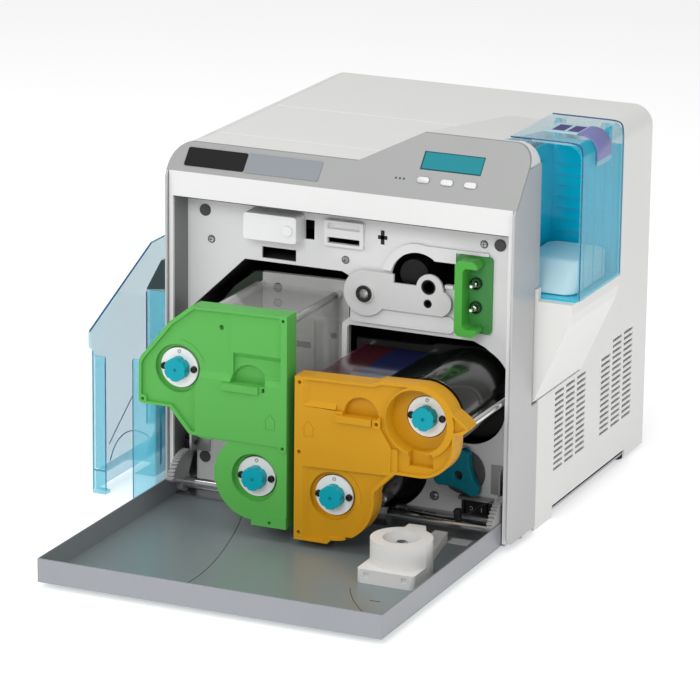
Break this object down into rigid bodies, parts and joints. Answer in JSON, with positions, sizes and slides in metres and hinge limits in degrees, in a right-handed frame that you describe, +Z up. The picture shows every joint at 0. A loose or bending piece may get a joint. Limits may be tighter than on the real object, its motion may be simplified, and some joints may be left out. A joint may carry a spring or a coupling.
{
  "type": "card printer",
  "caption": "Desktop identity card printer with a fold-down steel front door, two pull-out film cassettes, a side card hopper and an output tray",
  "frame": {"origin": "centre of the whole outline on the table plane, with the door open and the output tray in place", "axes": "X to the right facing the front, Y to the back, Z up"},
  "size_m": [0.4578, 0.62, 0.3715],
  "materials": {
    "white_plastic": "satin",
    "silver_fascia": "satin",
    "silver_side": "satin",
    "chassis_white": "satin",
    "sheet_steel": "brushed",
    "door_steel": "satin",
    "bright_steel": "polished",
    "foot_rubber": "matte",
    "display_teal": "gloss",
    "badge_dark": "gloss",
    "black_plastic": "satin",
    "grey_plastic": "satin",
    "gear_grey": "satin",
    "clear_cyan": "gloss",
    "green_plastic": "satin",
    "orange_plastic": "satin",
    "teal_plastic": "satin",
    "white_disc": "satin",
    "clear_film": "gloss",
    "ribbon_violet": "gloss",
    "lavender_plastic": "satin"
  },
  "bodies": {
    "printer": {"base_pan": "sheet_steel", "feet": "foot_rubber", "left_column": "silver_side", "right_column": "silver_side", "front_fascia": "silver_fascia", "front_frame": "white_plastic", "chassis_plate": "chassis_white", "left_cover": "white_plastic", "right_cover": "white_plastic", "top_cover": "white_plastic", "top_front_panel": "white_plastic", "control_hump": "white_plastic", "rear_panel": "white_plastic", "mid_wall": "sheet_steel", "lcd_window": "display_teal", "name_badges": "badge_dark", "led_windows": "black_plastic", "hinge_tube": "bright_steel", "switch_body": "black_plastic", "pin_bracket": "green_plastic", "bracket_pins": "bright_steel", "sensor_cover": "chassis_white", "grip_bar": "chassis_white", "chassis_fixings": "grey_plastic", "damper_brackets": "sheet_steel", "output_tray": "clear_cyan", "output_hood": "grey_plastic", "hopper_base": "white_plastic", "hopper_shell": "clear_cyan"},
    "front_door": {"front_door": "door_steel", "door_gears": "gear_grey", "door_latch": "chassis_white", "round_holder": "chassis_white"},
    "pinion_left": {"damper_pinion_left": "black_plastic"},
    "pinion_right": {"damper_pinion_right": "black_plastic"},
    "green_cassette": {"green_plate": "green_plastic", "green_back": "green_plastic", "green_rods": "bright_steel", "green_film": "clear_film"},
    "green_upper": {"green_upper_spool": "white_disc", "green_upper_knob": "teal_plastic"},
    "green_lower": {"green_lower_spool": "white_disc", "green_lower_knob": "teal_plastic"},
    "orange_cassette": {"orange_plate": "orange_plastic", "orange_back": "orange_plastic", "orange_rods": "bright_steel", "orange_ribbon": "ribbon_violet"},
    "orange_upper": {"orange_upper_spool": "white_disc", "orange_upper_knob": "teal_plastic"},
    "orange_lower": {"orange_lower_spool": "white_disc", "orange_lower_knob": "teal_plastic"},
    "menu_left": {"button_left": "silver_side"},
    "menu_middle": {"button_middle": "silver_side"},
    "menu_right": {"button_right": "silver_side"},
    "power_switch": {"power_rocker": "black_plastic"},
    "hopper_lid": {"hopper_cover": "clear_cyan", "hopper_catch": "lavender_plastic"},
    "weight": {"card_weight": "white_disc"},
    "lock": {"lock_knob": "teal_plastic"},
    "lever": {"lever_arm": "chassis_white"}
  },
  "joints": [
    {"name": "door_hinge", "type": "hinge", "parent": "printer", "child": "front_door", "pos_m": [0.0164, -0.033, 0.0173], "axis": [-1, 0, 0], "range_deg": [0, 3.9]},
    {"name": "pinion_left_spin", "type": "hinge", "parent": "printer", "child": "pinion_left", "pos_m": [-0.1436, -0.01823, 0.0521], "axis": [-1, 0, 0], "range_deg": [-15.6, 0]},
    {"name": "pinion_right_spin", "type": "hinge", "parent": "printer", "child": "pinion_right", "pos_m": [0.1764, -0.01823, 0.0521], "axis": [-1, 0, 0], "range_deg": [-15.6, 0]},
    {"name": "green_cassette_slide", "type": "slide", "parent": "printer", "child": "green_cassette", "axis": [0, 1, 0], "range_m": [0, 0.116]},
    {"name": "green_upper_spin", "type": "hinge", "parent": "green_cassette", "child": "green_upper", "pos_m": [-0.1035, -0.043, 0.158], "axis": [0, 1, 0], "continuous": true},
    {"name": "green_lower_spin", "type": "hinge", "parent": "green_cassette", "child": "green_lower", "pos_m": [-0.0258, -0.043, 0.0654], "axis": [0, 1, 0], "continuous": true},
    {"name": "orange_cassette_slide", "type": "slide", "parent": "printer", "child": "orange_cassette", "axis": [0, 1, 0], "range_m": [0, 0.116]},
    {"name": "orange_upper_spin", "type": "hinge", "parent": "orange_cassette", "child": "orange_upper", "pos_m": [0.1359, -0.043, 0.1414], "axis": [0, 1, 0], "continuous": true},
    {"name": "orange_lower_spin", "type": "hinge", "parent": "orange_cassette", "child": "orange_lower", "pos_m": [0.0514, -0.043, 0.059], "axis": [0, 1, 0], "continuous": true},
    {"name": "menu_left_press", "type": "slide", "parent": "printer", "child": "menu_left", "axis": [0, 0.7559, -0.6547], "range_m": [0, 0.001], "stiffness_N_per_m": 300},
    {"name": "menu_middle_press", "type": "slide", "parent": "printer", "child": "menu_middle", "axis": [0, 0.7559, -0.6547], "range_m": [0, 0.001], "stiffness_N_per_m": 300},
    {"name": "menu_right_press", "type": "slide", "parent": "printer", "child": "menu_right", "axis": [0, 0.7559, -0.6547], "range_m": [0, 0.001], "stiffness_N_per_m": 300},
    {"name": "power_rock", "type": "hinge", "parent": "printer", "child": "power_switch", "pos_m": [0.1454, -0.008, 0.0265], "axis": [0, 0, 1], "range_deg": [0, 12]},
    {"name": "hopper_lid_hinge", "type": "hinge", "parent": "printer", "child": "hopper_lid", "pos_m": [0.1864, 0.122, 0.363], "axis": [-1, 0, 0], "range_deg": [0, 75]},
    {"name": "weight_slide", "type": "slide", "parent": "printer", "child": "weight", "axis": [0, 0, 1], "range_m": [0, 0.1]},
    {"name": "lock_turn", "type": "hinge", "parent": "printer", "child": "lock", "pos_m": [0.1314, -0.012, 0.061], "axis": [0, 1, 0], "range_deg": [0, 90]},
    {"name": "lever_swing", "type": "hinge", "parent": "printer", "child": "lever", "pos_m": [0.0334, -0.016, 0.219], "axis": [0, -1, 0], "range_deg": [0, 6]}
  ],
  "couplings": [
    {"joint": "pinion_left_spin", "follows": "door_hinge", "ratio": -4},
    {"joint": "pinion_right_spin", "follows": "door_hinge", "ratio": -4}
  ]
}
